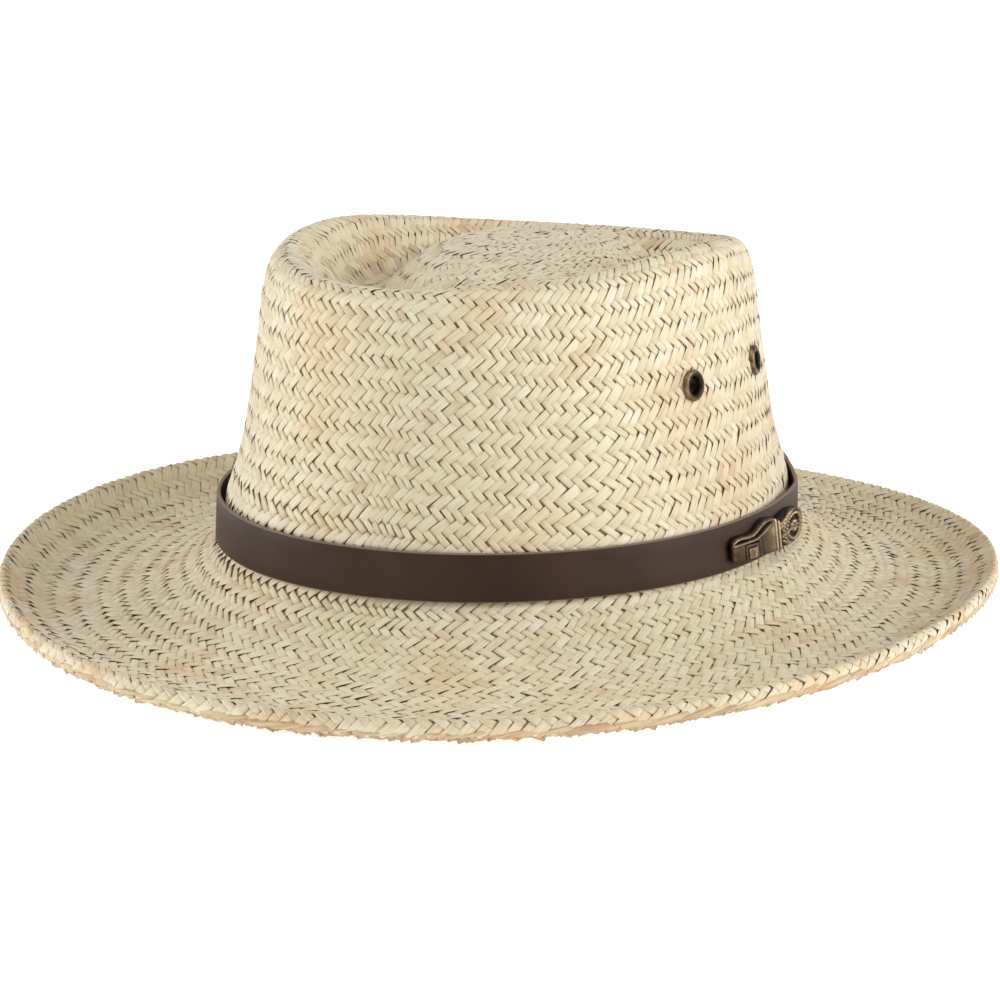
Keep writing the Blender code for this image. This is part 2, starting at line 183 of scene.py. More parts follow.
# Crown side: share of the way in to the crest, of its height, of the crest's and foot's rises
SideRow = namedtuple("SideRow", "inward up crest foot")
SIDE_ROWS = [
    SideRow(1.00, 1.000, 1.00, 0.0),
    SideRow(0.86, 0.989, 1.00, 0.0),
    SideRow(0.75, 0.961, 0.98, 0.0),
    SideRow(0.68, 0.913, 0.92, 0.0),
    SideRow(0.627, 0.854, 0.84, 0.0),
    SideRow(0.568, 0.735, 0.63, 0.0),
    SideRow(0.425, 0.498, 0.24, 0.2),
    SideRow(0.298, 0.332, 0.04, 0.55),
    SideRow(0.19, 0.237, 0.00, 0.8),
    SideRow(0.09, 0.159, 0.00, 1.0),
    SideRow(0.00, 0.000, 0.00, 1.0),
]
# Brim: share of the way out, of the drop, of the curl's rise; hem: share out, share down
BrimRow = namedtuple("BrimRow", "out drop curl")
BRIM_ROWS = [
    BrimRow(0.03, 0.14, 0.00),
    BrimRow(0.08, 0.285, 0.00),
    BrimRow(0.16, 0.53, 0.00),
    BrimRow(0.26, 0.745, 0.00),
    BrimRow(0.38, 0.89, 0.00),
    BrimRow(0.52, 0.97, 0.00),
    BrimRow(0.66, 1.00, 0.00),
    BrimRow(0.76, 1.00, 0.06),
    BrimRow(0.85, 1.00, 0.31),
    BrimRow(0.92, 1.00, 0.63),
    BrimRow(0.965, 1.00, 0.89),
    BrimRow(0.985, 1.00, 1.00),
]
HemRow = namedtuple("HemRow", "out down")
HEM_ROWS = [
    HemRow(1.00, 0.25),
    HemRow(1.00, 0.65),
    HemRow(0.985, 1.00),
    HemRow(0.945, 1.05),
]
EyeletRow = namedtuple("EyeletRow", "name angle")
EYELET_ROWS = [
    EyeletRow("eyelet_left_front", 68.3),
    EyeletRow("eyelet_left_rear", 101.6),
    EyeletRow("eyelet_right_front", -68.3),
    EyeletRow("eyelet_right_rear", -101.6),
]
EYELET_HEIGHT = 0.0517
EYELET_HOLE = 0.0038
EYELET_REACH = 0.006


def dent_at(turn):
    """Depth of the dent in the crown's left rear at a turn."""
    from_dent = (np.degrees(turn) - DENT_ANGLE + 180) % 360 - 180
    return DENT_DEPTH * np.exp(-(from_dent / DENT_SPREAD) ** 2)


turns = np.linspace(0, 2 * math.pi, AROUND_STEPS + 1)
crest_rise = CREST_FRONT_RISE * np.cos(turns) - CREST_SIDE_RISE * np.cos(2 * turns)
foot_rise = FOOT_END_RISE * np.cos(2 * turns)
side_dent = dent_at(turns)
brim_rise = CURL_RISE - CURL_END_DIP * np.cos(2 * turns) - CURL_LEFT_DIP * np.sin(turns)


def mix(start, end, share):
    """Value that lies a share of the way from start to end."""
    return start + (end - start) * share


def oval(length, width, power=2.0):
    """Radius of an oval at every turn."""
    along = np.abs(np.cos(turns) * 2 / length) ** power
    across = np.abs(np.sin(turns) * 2 / width) ** power
    return (along + across) ** (-1 / power)


def ring(radius, height, setback, leftward=0.0):
    """Points of one ring of the sheet."""
    return np.stack([radius * np.sin(turns) + leftward, setback - radius * np.cos(turns),
                     FOOT_HEIGHT + height], axis=-1)


def groove_share():
    """Depth of the groove at every turn, eased between its rows."""
    angles = np.array([row.angle for row in GROOVE_ROWS])
    depths = np.array([row.depth for row in GROOVE_ROWS])
    degrees = np.degrees(turns)
    below = np.clip(np.searchsorted(angles, degrees, side="right") - 1, 0, len(angles) - 2)
    share = (degrees - angles[below]) / (angles[below + 1] - angles[below])
    return mix(depths[below], depths[below + 1], (1 - np.cos(math.pi * share)) / 2)


def brim_oval(out):
    """Radius of the brim at a share of the way out from the head to its edge."""
    radius = oval(mix(HEAD_LENGTH, BRIM_LENGTH, out), mix(HEAD_WIDTH, BRIM_WIDTH, out),
                  mix(2.0, 2.05, out))
    return radius - side_dent * (1 - out) ** 8


def sheet_rings():
    """Rings of the sheet's outer face, from the middle of the dome to the end of the hem."""
    rings = []
    grooves = groove_share()
    for row in TOP_ROWS:
        height = mix(CROWN_HEIGHT + DOME_RISE, CROWN_HEIGHT + crest_rise, row.rim)
        height = height - GROOVE_DEPTH * grooves * row.groove
        radius = oval(CREST_LENGTH, CREST_WIDTH) * row.reach
        rings.append(ring(radius, height, CROWN_SETBACK + DOME_SETBACK * (1 - row.reach),
                          DOME_LEFT_SHIFT * (1 - row.reach)))
    for row in SIDE_ROWS:
        radius = oval(mix(HEAD_LENGTH, CREST_LENGTH, row.inward),
                      mix(HEAD_WIDTH, CREST_WIDTH, row.inward)) - side_dent * row.foot
        height = CROWN_HEIGHT * row.up + crest_rise * row.crest + foot_rise * row.foot
        rings.append(ring(radius, height, CROWN_SETBACK))
    low = -BRIM_DROP - REST_DIP * np.cos(2 * turns)
    for row in BRIM_ROWS:
        height = mix(foot_rise, low, row.drop) + brim_rise * row.curl
        rings.append(ring(brim_oval(row.out), height, CROWN_SETBACK * (1 - row.out)))
    for row in HEM_ROWS:
        height = brim_rise + low - HEM_DEPTH * row.down
        rings.append(ring(brim_oval(row.out), height, CROWN_SETBACK * (1 - row.out)))
    return np.array(rings)


def smooth_sheet(rings):
    """Rings at even steps from the middle outward, eased through the given rings."""
    steps = np.linalg.norm(np.diff(rings, axis=0), axis=2).mean(axis=1)
    at = np.concatenate([[0.0], np.cumsum(steps)])
    slopes = np.gradient(rings, at, axis=0)
    wanted = np.arange(0, at[-1], SHEET_STEP)
    below = np.clip(np.searchsorted(at, wanted, side="right") - 1, 0, len(at) - 2)
    span = (at[below + 1] - at[below])[:, None, None]
    share = ((wanted - at[below]) / (at[below + 1] - at[below]))[:, None, None]
    first = (1 + 2 * share) * (1 - share) ** 2 * rings[below]
    first = first + share * (1 - share) ** 2 * span * slopes[below]
    second = share ** 2 * (3 - 2 * share) * rings[below + 1]
    return first + second + share ** 2 * (share - 1) * span * slopes[below + 1], at


sheet, ring_places = smooth_sheet(sheet_rings())
CREST_AT = ring_places[len(TOP_ROWS)]
FOOT_AT = ring_places[len(TOP_ROWS) + len(SIDE_ROWS) - 1]
EDGE_AT = ring_places[len(TOP_ROWS) + len(SIDE_ROWS) + len(BRIM_ROWS) - 1]
END_AT = ring_places[-1] - SHEET_STEP
LAST_ROW = EDGE_AT + 0.0046
HEM_END = EDGE_AT + 0.0052
outward_slope = np.gradient(sheet, axis=0)
round_slope = np.roll(sheet[:, :-1], -1, axis=1) - np.roll(sheet[:, :-1], 1, axis=1)
round_slope = np.concatenate([round_slope, round_slope[:, :1]], axis=1)
sheet_normals = np.cross(outward_slope, round_slope)
sheet_normals[0] = sheet_normals[1].mean(axis=0)
sheet_normals /= np.linalg.norm(sheet_normals, axis=2, keepdims=True)
segment_lengths = np.linalg.norm(np.diff(sheet, axis=1), axis=2)
ring_lengths = segment_lengths.sum(axis=1)
ring_shares = np.concatenate([np.zeros((len(sheet), 1)), np.cumsum(segment_lengths, axis=1)],
                             axis=1) / np.maximum(ring_lengths, 1e-9)[:, None]


def on_sheet(distance, turn, lift=0.0):
    """Points at distances from the dome's middle and turns, lifted square off the sheet."""
    row = np.clip(distance / SHEET_STEP, 0, len(sheet) - 1.001)
    column = (turn % (2 * math.pi)) / (2 * math.pi) * AROUND_STEPS
    row_low, column_low = row.astype(int), np.minimum(column.astype(int), AROUND_STEPS - 1)
    down, across = (row - row_low)[..., None], (column - column_low)[..., None]

    def between(table):
        """Value of a table of the sheet between its rows and columns."""
        near = mix(table[row_low, column_low], table[row_low, column_low + 1], across)
        far = mix(table[row_low + 1, column_low], table[row_low + 1, column_low + 1], across)
        return mix(near, far, down)

    normal = between(sheet_normals)
    return between(sheet) + normal * np.asarray(lift)[..., None], normal


def eyelet_axes():
    """Middle and outward direction of each eyelet."""
    axes = []
    for row in EYELET_ROWS:
        turn = np.full(400, math.radians(row.angle))
        distance = np.linspace(CREST_AT, FOOT_AT, 400)
        points, normals = on_sheet(distance, turn)
        nearest = np.argmin(np.abs(points[:, 2] - FOOT_HEIGHT - EYELET_HEIGHT))
        axes.append((points[nearest], normals[nearest]))
    return axes


def from_axis(points, middle, axis):
    """How far points lie along an eyelet's axis, and how they lie square to it."""
    offset = points - middle
    along = offset @ axis
    return along, offset - along[..., None] * axis


def clear_eyelets(points):
    """Points with those inside an eyelet's hole moved out to its wall."""
    for middle, axis in eyelet_axes():
        along, across = from_axis(points, middle, axis)
        distance = np.linalg.norm(across, axis=-1)
        inside = (distance < EYELET_HOLE) & (np.abs(along) < EYELET_REACH)
        grown = np.where(inside, EYELET_HOLE / np.maximum(distance, 1e-6), 1.0)
        points = middle + along[..., None] * axis + across * grown[..., None]
    return points


def in_eyelets(points, radius):
    """Which points lie within a radius of an eyelet's axis, near the straw."""
    inside = np.zeros(len(points), bool)
    for middle, axis in eyelet_axes():
        along, across = from_axis(points, middle, axis)
        inside |= (np.linalg.norm(across, axis=1) < radius) & (np.abs(along) < EYELET_REACH)
    return inside


def add_piece(name, mesh, material, node):
    """Object for a finished mesh, in place of a solid of the frame."""
    mesh.materials.append(material)
    piece = bpy.data.objects.new(name, mesh)
    bpy.context.scene.collection.objects.link(piece)
    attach(piece, "root")
    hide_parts(node)
    return piece


def smooth_mesh(bm, name, sharp=None):
    """Finished mesh with outward faces; edges above an angle in degrees are kept sharp."""
    bmesh.ops.recalc_face_normals(bm, faces=bm.faces)
    mesh = bpy.data.meshes.new(name)
    bm.to_mesh(mesh)
    bm.free()
    mesh.shade_smooth()
    if sharp:
        mesh.set_sharp_from_angle(angle=math.radians(sharp))
    return mesh


def new_material(name):
    """Material with its node tree and its shader."""
    material = bpy.data.materials.new(name)
    material.use_nodes = True
    tree = material.node_tree
    return material, tree, tree.nodes["Principled BSDF"]


def attribute_of(tree, name):
    """Value that the mesh holds under a name."""
    node = tree.nodes.new("ShaderNodeAttribute")
    node.attribute_name = name
    return node.outputs["Fac"]


def noise_over(tree, scale, detail, places=None):
    """Noise over the given places, or else fixed to the object."""
    if places is None:
        places = tree.nodes.new("ShaderNodeTexCoord").outputs["Object"]
    node = tree.nodes.new("ShaderNodeTexNoise")
    node.inputs["Scale"].default_value = scale
    node.inputs["Detail"].default_value = detail
    tree.links.new(places, node.inputs["Vector"])
    return node.outputs["Fac"]


def ramp_of(tree, source, stops):
    """Colour ramp over a value."""
    node = tree.nodes.new("ShaderNodeValToRGB")
    while len(node.color_ramp.elements) < len(stops):
        node.color_ramp.elements.new(0.5)
    for element, (at, colour) in zip(node.color_ramp.elements, stops):
        element.position = at
        element.color = (*colour, 1.0)
    tree.links.new(source, node.inputs["Fac"])
    return node.outputs["Color"]


def mixed(tree, kind, share, first, second):
    """Mix of two colours; each input is a socket or a plain value."""
    node = tree.nodes.new("ShaderNodeMix")
    node.data_type = "RGBA"
    node.blend_type = kind
    for number, value in ((0, share), (6, first), (7, second)):
        if isinstance(value, (float, tuple)):
            node.inputs[number].default_value = value
        else:
            tree.links.new(value, node.inputs[number])
    return node.outputs[2]


def roughen(tree, shader, source, low, high):
    """Roughness that runs with a value from low to high."""
    node = tree.nodes.new("ShaderNodeMapRange")
    node.inputs["To Min"].default_value = low
    node.inputs["To Max"].default_value = high
    tree.links.new(source, node.inputs["Value"])
    tree.links.new(node.outputs["Result"], shader.inputs["Roughness"])


def add_bump(tree, shader, height, strength, distance):
    """Bump of the surface by a height."""
    node = tree.nodes.new("ShaderNodeBump")
    node.inputs["Strength"].default_value = strength
    node.inputs["Distance"].default_value = distance
    tree.links.new(height, node.inputs["Height"])
    tree.links.new(node.outputs["Normal"], shader.inputs["Normal"])


def straw_material(name, pale, deep, ramp):
    """Palm strip: tone with painted groove shade, fine fibre lines, soiled patches, painted shade
    under neighbours.
    """
    material, tree, shader = new_material(name)
    shader.inputs["Roughness"].default_value = 0.48
    shader.inputs["Specular IOR Level"].default_value = 0.32
    shader.inputs["Sheen Weight"].default_value = 0.08
    along = tree.nodes.new("ShaderNodeUVMap")
    along.uv_map = "strip"
    stretch = tree.nodes.new("ShaderNodeMapping")
    stretch.inputs["Scale"].default_value = (120.0, 2600.0, 1.0)
    tree.links.new(along.outputs["UV"], stretch.inputs["Vector"])
    fibres = noise_over(tree, 1.0, 3.0, stretch.outputs["Vector"])
    colour = ramp_of(tree, attribute_of(tree, "tint"), ramp)
    lines = ramp_of(tree, fibres, [(0.30, (0.62, 0.52, 0.40)), (0.50, (1.0, 1.0, 1.0))])
    colour = mixed(tree, "MULTIPLY", 0.55, colour, lines)
    soil = ramp_of(tree, noise_over(tree, 34.0, 3.0), [
        (0.34, (0.96, 0.85, 0.76)), (0.50, (1.0, 1.0, 1.0)), (0.68, (0.95, 0.96, 0.91))])
    colour = mixed(tree, "MULTIPLY", 0.8, colour, soil)
    # Painted shade: darker toward the parts of a strip that dip under its neighbours.
    shade = ramp_of(tree, attribute_of(tree, "painted_tuck_shade"), [
        (0.0, (1.0, 1.0, 1.0)), (0.45, pale), (1.0, deep)])
    colour = mixed(tree, "MULTIPLY", 1.0, colour, shade)
    tree.links.new(colour, shader.inputs["Base Color"])
    add_bump(tree, shader, fibres, 0.35, 0.00018)
    return material


STRAW_RAMP = [(0.00, (0.60, 0.49, 0.355)), (0.08, (0.74, 0.592, 0.43)),
              (0.20, (0.79, 0.67, 0.48)), (0.40, (0.82, 0.72, 0.52)),
              (0.75, (0.86, 0.775, 0.575)), (1.00, (0.91, 0.84, 0.67))]
# The two colours after each name are painted shade, half and full, where strips dip under their
# neighbours.
straw = straw_material("palm_straw", (0.80, 0.70, 0.56), (0.24, 0.15, 0.09), STRAW_RAMP)
# Dark brown for the sheet under the strips: painted shade that shows between them.
shaded_under_straw = straw_material("palm_straw_painted_shade", (0.5, 0.4, 0.3), (0.2, 0.12, 0.07),
                             [(0.0, (0.42, 0.28, 0.16)), (1.0, (0.47, 0.32, 0.19))])


def shade_sheet_under():
    """Closed sheet midway through the straw, with the eyelets' holes through it."""
    bm = bmesh.new()
    corner = np.linspace(0, 2 * math.pi, TUCKED_ROUND, endpoint=False)
    rings = []
    for place in range(int(LAST_ROW / TUCKED_STEP) + 1):
        distance = np.full(TUCKED_ROUND, TUCKED_START + place * TUCKED_STEP)
        lift = np.full(TUCKED_ROUND, -TUCKED_DEPTH)
        points = clear_eyelets(on_sheet(distance, corner, lift)[0])
        rings.append([bm.verts.new(point) for point in points])
    for near, far in zip(rings, rings[1:]):
        for step in range(TUCKED_ROUND):
            after = (step + 1) % TUCKED_ROUND
            bm.faces.new((near[step], near[after], far[after], far[step]))
    bm.faces.new(rings[0])
    middles = np.array([face.calc_center_median() for face in bm.faces])
    holes = in_eyelets(middles, EYELET_HOLE * 0.93)
    bmesh.ops.delete(bm, geom=[face for face, cut in zip(bm.faces, holes) if cut],
                     context="FACES")
    bmesh.ops.recalc_face_normals(bm, faces=bm.faces)
    bmesh.ops.solidify(bm, geom=bm.faces, thickness=TUCKED_WALL)
    return smooth_mesh(bm, "straw_under_shade_sheet")


# ---------------------------------------------------------------- plaited strips
# Palm strips 2 to 3 mm wide cross in a herringbone of two over, two under. Every strip that
# shows is one short curved scale whose ends dip under its neighbours; more strips start on
# the dome and on the brim as the rings grow.
STRIPS_ON_CROWN = 146
STRIPS_AT_EDGE = 227
STRIP_PITCH_ON_DOME = 0.00295
ROW_TILT = 0.0048
WIDTH_SPREAD = 0.20
STRIP_ARCH = 0.00040
STRIP_SINK = 0.00022
STRAND_SHADES = 997
GROOVE_PAINTED_SHADE = 0.42
REST_LEVEL = 0.0001
random = np.random.default_rng(11)

# Height of a strip, in arches, at places along it and across it
ProfileRow = namedtuple("ProfileRow", "place height")
OUTER_ALONG = [
    ProfileRow(-1.30, -0.90),
    ProfileRow(-0.96, 0.35),
    ProfileRow(-0.50, 0.84),
    ProfileRow(0.50, 0.84),
    ProfileRow(0.96, 0.35),
    ProfileRow(1.30, -0.90),
]
OUTER_ACROSS = [
    ProfileRow(-1.0, -0.75),
    ProfileRow(-0.9, 0.00),
    ProfileRow(-0.4, 0.12),
    ProfileRow(0.4, 0.12),
    ProfileRow(0.9, 0.00),
    ProfileRow(1.0, -0.75),
]
INNER_ALONG = [
    ProfileRow(-1.25, -0.9),
    ProfileRow(-0.80, 0.5),
    ProfileRow(0.80, 0.5),
    ProfileRow(1.25, -0.9),
]
INNER_ACROSS = [
    ProfileRow(-1.0, -0.35),
    ProfileRow(0.0, 0.10),
    ProfileRow(1.0, -0.35),
]

TiltRow = namedtuple("TiltRow", "angle share")
TILT_ROWS = [
    TiltRow(0, -1.0),
    TiltRow(6, -0.98),
    TiltRow(42, 0.98),
    TiltRow(50, 1.0),
    TiltRow(135, 1.0),
    TiltRow(300, -1.0),
    TiltRow(360, -1.0),
]


def tilt_of(distance, turn):
    """How much further out a plaited row runs at a turn, and its slope per radian."""
    angles = np.radians([row.angle for row in TILT_ROWS])
    shares = np.array([row.share for row in TILT_ROWS])
    fade = np.interp(distance, [CREST_AT * 0.45, CREST_AT, FOOT_AT - 0.02, FOOT_AT + 0.008],
                     [0.0, 1.0, 1.0, 0.0]) * ROW_TILT
    nudge = 0.04
    here = np.interp(turn % (2 * math.pi), angles, shares)
    after = np.interp((turn + nudge) % (2 * math.pi), angles, shares)
    before = np.interp((turn - nudge) % (2 * math.pi), angles, shares)
    return fade * (here + after + before) / 3, fade * (after - before) / (2 * nudge)


def turn_at(distance, share):
    """Turn at a share of the way round the ring at each distance."""
    row = int(np.clip(np.mean(distance) / SHEET_STEP, 1, len(sheet) - 1))
    return np.interp(share % 1.0, ring_shares[row], turns)


def strips_round(distance):
    """How many strips cross the ring at a distance."""
    ring_length = ring_lengths[int(distance / SHEET_STEP)]
    if distance < FOOT_AT:
        return min(STRIPS_ON_CROWN, int(ring_length / STRIP_PITCH_ON_DOME))
    share = (distance - FOOT_AT) / (EDGE_AT - FOOT_AT)
    return int(mix(STRIPS_ON_CROWN, STRIPS_AT_EDGE, min(share, 1.0)))


def add_strips(shares, wanted):
    """Places for the next row: midway between the last row's, with new strips let in."""
    gaps = np.diff(np.append(shares, shares[0] + 1))
    middles = shares + gaps / 2
    extra = max(0, wanted - len(shares))
    chosen = np.argsort(-gaps * (1 + 0.3 * random.random(len(gaps))))[:extra]
    middles[chosen] -= gaps[chosen] / 5
    middles = np.sort(np.append(middles, middles[chosen] + gaps[chosen] / 2.5))
    for _ in range(3 if extra else 1):
        before = np.append(middles[-1] - 1, middles[:-1])
        after = np.append(middles[1:], middles[0] + 1)
        middles = middles * 0.5 + (before + after) * 0.25
    return middles


def plait_rows():
    """Rows of strips from the dome's middle to the hem."""
    distance = 0.0020
    shares = np.arange(5) / 5
    rows = []
    while distance < LAST_ROW:
        gap = np.interp(distance, [0, CREST_AT - 0.006, CREST_AT + 0.006, FOOT_AT - 0.004,
                                   FOOT_AT + 0.006, FOOT_AT + 0.02, EDGE_AT],
                        [0.0034, 0.0034, 0.00335, 0.00335, 0.0027, 0.0030, 0.0034])
        rows.append((distance, shares.copy(), gap))
        turn = turn_at(distance, shares)
        slope = tilt_of(distance, turn)[1]
        length = ring_lengths[int(distance / SHEET_STEP)]
        lean = -slope * 2 * math.pi / length * gap / length
        shares = add_strips(shares + lean, strips_round(min(distance + gap, END_AT)))
        distance += gap
    return rows


def strip_template(along, across):
    """Flat grid for one strip, from 0 to 1 both ways: its places and its faces."""
    bm = bmesh.new()
    bmesh.ops.create_grid(bm, x_segments=along, y_segments=across, size=0.5)
    bm.verts.ensure_lookup_table()
    places = np.array([vertex.co[:2] for vertex in bm.verts]) + 0.5
    faces = np.array([[vertex.index for vertex in face.verts] for face in bm.faces])
    bm.free()
    return places, faces


def strip_mesh(name, points, corners, uv, tint, painted_tuck_shade):
    """Mesh of four-sided faces with the strips' own places, tones and painted shade."""
    mesh = bpy.data.meshes.new(name)
    mesh.vertices.add(len(points))
    points[:, 2] = np.maximum(points[:, 2], REST_LEVEL)
    mesh.vertices.foreach_set("co", points.ravel())
    mesh.loops.add(corners.size)
    mesh.loops.foreach_set("vertex_index", corners.ravel().astype(np.int32))
    mesh.polygons.add(len(corners))
    mesh.polygons.foreach_set("loop_start", np.arange(0, corners.size, 4, dtype=np.int32))
    mesh.uv_layers.new(name="strip").data.foreach_set("uv", uv[corners.ravel()].ravel())
    for key, values in (("tint", tint), ("painted_tuck_shade", painted_tuck_shade)):
        attribute = mesh.attributes.new(key, "FLOAT", "POINT")
        attribute.data.foreach_set("value", values.astype(np.float32))
    mesh.update()
    mesh.validate()
    mesh.shade_smooth()
    return mesh


def joined_strips(name, rows, first, under=False):
    """One mesh of every strip in the given rows; first is the number of the first row."""
    ends, sides = (INNER_ALONG, INNER_ACROSS) if under else (OUTER_ALONG, OUTER_ACROSS)
    places, faces = strip_template(len(ends) - 1, len(sides) - 1)
    column = np.round(places[:, 0] * (len(ends) - 1)).astype(int)
    side = np.round(places[:, 1] * (len(sides) - 1)).astype(int)
    lengthwise, from_end = np.array(ends)[column].T
    sideways, from_side = np.array(sides)[side].T
    strand_tints = random.random(STRAND_SHADES)
    grooves = groove_share()
    all_points, all_tints, all_painted_tuck_shade, all_uv = [], [], [], []
    for number, (distance, shares, gap) in enumerate(rows, first):
        count = len(shares)
        rising = (number % 2 == 0) != under
        profile = from_end + from_side * (0.25 if rising else 1.0)
        before = np.append(shares[-1] - 1, shares[:-1])
        after = np.append(shares[1:], shares[0] + 1)
        length = ring_lengths[int(distance / SHEET_STEP)]
        pitch = (after - before) / 2 * length
        shift = random.uniform(-WIDTH_SPREAD, WIDTH_SPREAD, count) * pitch
        own_pitch = pitch + (np.roll(shift, -1) - np.roll(shift, 1)) / 2
        shares = shares + (np.roll(shift, -1) + 2 * shift + np.roll(shift, 1)) / 4 / length
        turn = turn_at(distance, shares)
        tilt, slope = tilt_of(distance, turn)
        slope = slope * 2 * math.pi / length
        middle = distance + tilt + random.normal(0, 0.00012, count)
        half_run = pitch * 0.5 * (1 if rising else -1)
        half_climb = np.full(count, gap * (0.57 if rising else 0.43))
        reach = np.hypot(half_run, half_climb)
        width = own_pitch * 0.5 * half_climb / reach
        slit = np.interp(distance, [CREST_AT * 0.8, CREST_AT, FOOT_AT, FOOT_AT + 0.02],
                         [0.95, 0.88, 0.88, 0.95])
        width = width * (0.985 if rising else slit) * random.normal(1.0, 0.02, count)
        twist = random.normal(0, 0.045, count)
        run = (half_run * np.cos(twist) - half_climb * np.sin(twist))[:, None]
        climb = (half_run * np.sin(twist) + half_climb * np.cos(twist))[:, None]
        size = reach[:, None]
        local_round = run * lengthwise + climb / size * width[:, None] * sideways
        local_up = climb * lengthwise - run / size * width[:, None] * sideways
        local_round = local_round + random.normal(0, 0.00010, count)[:, None]
        tip = 1 / np.sqrt(1 + slope ** 2)[:, None]
        shift_round = (local_round + local_up * slope[:, None]) * tip
        shift_out = (local_round * slope[:, None] - local_up) * tip
        vertex_distance = np.clip(middle[:, None] + shift_out, 0.0, HEM_END)
        vertex_share = shares[:, None] + shift_round / length
        vertex_turn = turn_at(distance, vertex_share.ravel()).reshape(vertex_share.shape)
        rock = random.normal(0, 0.00007, count)[:, None] * sideways
        lift = STRIP_ARCH * profile - STRIP_SINK
        lift = lift + random.normal(0, 0.00005, count)[:, None] + rock
        if under:
            lift = -STRAW_WALL + 0.0002 - 0.0009 * (profile + 0.4) * 0.4
        points = on_sheet(vertex_distance, vertex_turn, lift)[0]
        column_number = np.arange(count)
        strand = column_number + 1.5 * number if rising else column_number - 0.5 * number
        strand = (strand.astype(int) * 7 + (0 if rising else 331)) % STRAND_SHADES
        tint = 0.08 + 0.60 * strand_tints[strand] + 0.28 * random.random(count)
        # Painted shade: strips down in the groove between the dome and the crest get a darker
        # tone.
        groove_painted_shade = np.interp(turn, turns, grooves, period=2 * math.pi)
        groove_painted_shade = groove_painted_shade * np.interp(distance, [CREST_AT * 0.55, CREST_AT * 0.8, CREST_AT],
                                [0.0, 1.0, 0.2])
        tint = np.maximum(tint - GROOVE_PAINTED_SHADE * groove_painted_shade, 0.02)
        # Painted shade where the strip's ends and sides dip under its neighbours, weaker on rising
        # strips.
        painted_tuck_shade = np.clip((0.75 - profile) / 1.6, 0, 1) ** 1.3 * (0.4 if rising else 1.0)
        all_points.append(points)
        all_tints.append(np.repeat(tint[:, None], len(places), axis=1))
        all_painted_tuck_shade.append(np.repeat(painted_tuck_shade[None], count, axis=0))
        offset = random.random((count, 2))
        uv = np.stack([lengthwise * 0.0026 + offset[:, :1] * 9,
                       sideways * 0.00125 + offset[:, 1:] * 9], axis=-1)
        all_uv.append(uv)
    points = np.concatenate(all_points).reshape(-1, 3)
    strips = len(points) // len(places)
    corners = (faces[None] + np.arange(strips)[:, None, None] * len(places)).reshape(-1, 4)
    corners = corners[~in_eyelets(points[corners].mean(axis=1), EYELET_HOLE * 0.85)]
    points = clear_eyelets(points)
    if under:
        corners = corners[:, ::-1]
    return strip_mesh(name, points, corners, np.concatenate(all_uv).reshape(-1, 2),
                      np.concatenate(all_tints).ravel(), np.concatenate(all_painted_tuck_shade).ravel())


rows = plait_rows()
# The sheet under the strips is dark brown: painted shade in the slits between them.
add_piece("straw_under_shade_sheet", shade_sheet_under(), shaded_under_straw, "straw_body")
row_places = np.array([row[0] for row in rows])
crest_row = int(np.searchsorted(row_places, CREST_AT))
foot_row = int(np.searchsorted(row_places, FOOT_AT + 0.002))
side_row = (crest_row + foot_row) // 2
brim_row = (foot_row + len(rows)) // 2
for name, start, end in (("plait_crown_top", 0, crest_row),
                         ("plait_crown_side", crest_row, side_row),
                         ("plait_crown_foot", side_row, foot_row),
                         ("plait_brim", foot_row, brim_row),
                         ("plait_brim_edge", brim_row, len(rows))):
    mesh = joined_strips(name, rows[start:end], start)
    add_piece(name, mesh, straw, "straw_body")
    mesh = joined_strips(name + "_under", rows[start:end], start, under=True)
    add_piece(name + "_under", mesh, straw, "straw_body")


# ---------------------------------------------------------------- frayed hem
# The brim's edge curls up and its hem is folded down outside. There the strips are turned
# nearly level in two overlapping courses, and below them their cut ends make a short, uneven
# fringe, some split and some browned.
CourseRow = namedtuple("CourseRow", "name strands below spread length width slant lift tint")
COURSE_ROWS = [
    CourseRow("hem_under_course", 420, 0.0046, 0.0003, 0.0095, 0.0015, 0.12, -0.0002, 0.35),
    CourseRow("hem_course", 300, 0.0042, 0.0003, 0.0120, 0.0015, 0.16, 0.0001, 0.50),
    CourseRow("frayed_ends", 760, 0.0050, 0.0004, 0.0036, 0.0013, 0.34, -0.0001, 0.22),
]


